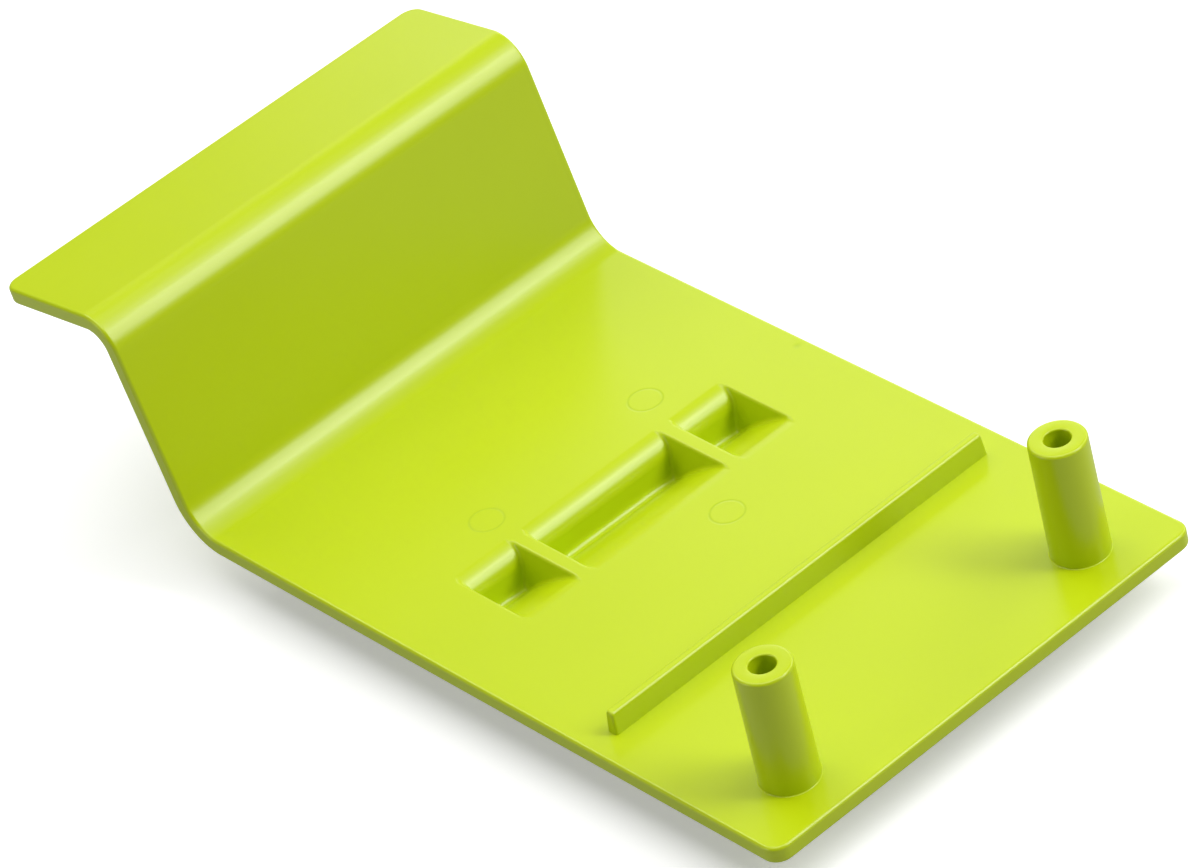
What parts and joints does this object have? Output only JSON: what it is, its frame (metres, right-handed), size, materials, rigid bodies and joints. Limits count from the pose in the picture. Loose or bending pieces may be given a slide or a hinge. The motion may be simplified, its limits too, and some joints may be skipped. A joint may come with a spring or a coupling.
{
  "type": "moulded slide cover",
  "caption": "Flat moulded cover with a bent-up riser and lip at one end, two hollow screw posts, a low cross rib and a hollow three-bay grip ridge.",
  "frame": {"origin": "on the bed's flat outer face, midway between the two screw posts", "axes": "+Z from the bed's outer face to its inner face, along the screw posts; +X along the bed to its front edge, away from the riser and lip; Y across the bed, with the left post on the -Y side"},
  "size_m": [0.1451, 0.075, 0.0403],
  "materials": {
    "lime_plastic": "satin injection-moulded plastic, lime green right through"
  },
  "bodies": {
    "root": {"slide_sheet": "lime_plastic", "grip_ridge": "lime_plastic", "ridge_web_left": "lime_plastic", "ridge_web_right": "lime_plastic", "cross_rib": "lime_plastic", "screw_post_left": "lime_plastic", "screw_post_right": "lime_plastic"}
  },
  "joints": []
}
